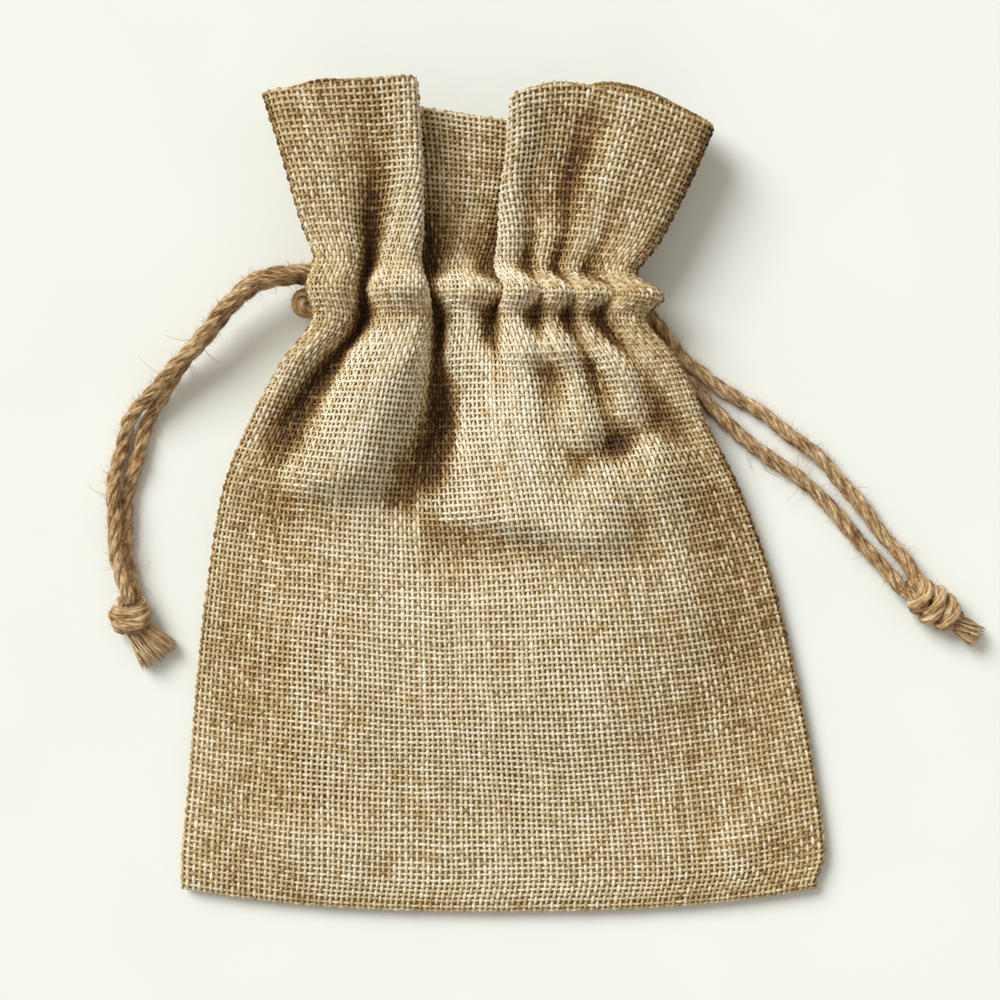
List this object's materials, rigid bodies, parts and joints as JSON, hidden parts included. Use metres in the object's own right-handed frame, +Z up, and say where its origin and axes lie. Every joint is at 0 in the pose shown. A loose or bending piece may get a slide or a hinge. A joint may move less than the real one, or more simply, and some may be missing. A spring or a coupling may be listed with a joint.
{
  "type": "burlap drawstring sack",
  "caption": "Small coarse-woven cloth sack lying on its back, drawn in at the neck by knotted twine drawcords, with a ruffled mouth.",
  "frame": {"origin": "on the surface that the sack lies on, below the middle of the cloth's box", "axes": "+X across the sack to the picture's right, +Y from the bottom fold to the mouth, +Z up from the surface it lies on"},
  "size_m": [0.1747, 0.1664, 0.0224],
  "materials": {
    "burlap": "coarse matt plain weave",
    "jute_twine": "hairy matt twine"
  },
  "bodies": {
    "root": {"bag_cloth": "burlap", "left_strand_outer": "jute_twine", "left_strand_inner": "jute_twine", "left_knot": "jute_twine", "left_tail_lower": "jute_twine", "left_tail_upper": "jute_twine", "right_strand_upper": "jute_twine", "right_strand_lower": "jute_twine", "right_knot": "jute_twine", "right_tail": "jute_twine", "cord_bight": "jute_twine"}
  },
  "joints": []
}
